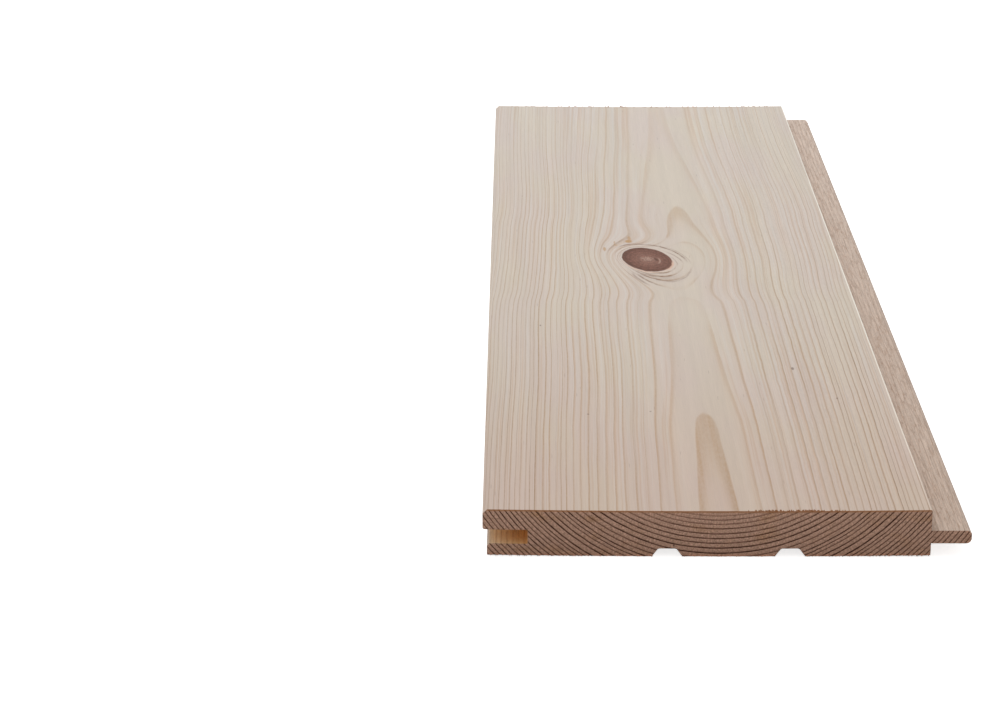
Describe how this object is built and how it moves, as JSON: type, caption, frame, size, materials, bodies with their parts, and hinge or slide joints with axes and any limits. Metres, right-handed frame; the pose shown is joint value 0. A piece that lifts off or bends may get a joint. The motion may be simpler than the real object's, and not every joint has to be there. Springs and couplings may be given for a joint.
{
  "type": "tongue and groove board",
  "caption": "Flat planed softwood panelling board with a tongue along one long edge, a matching groove along the other and shallow relief channels in its back.",
  "frame": {"origin": "on the back face, under the middle of the overall width (tongue included) and the middle of the length", "axes": "+X across the board towards the tongue, +Y along the grain, +Z from the back face up to the show face"},
  "size_m": [0.145, 0.5, 0.015],
  "materials": {
    "planed_pine": "planed, bare"
  },
  "bodies": {
    "root": {"board": "planed_pine"}
  },
  "joints": []
}
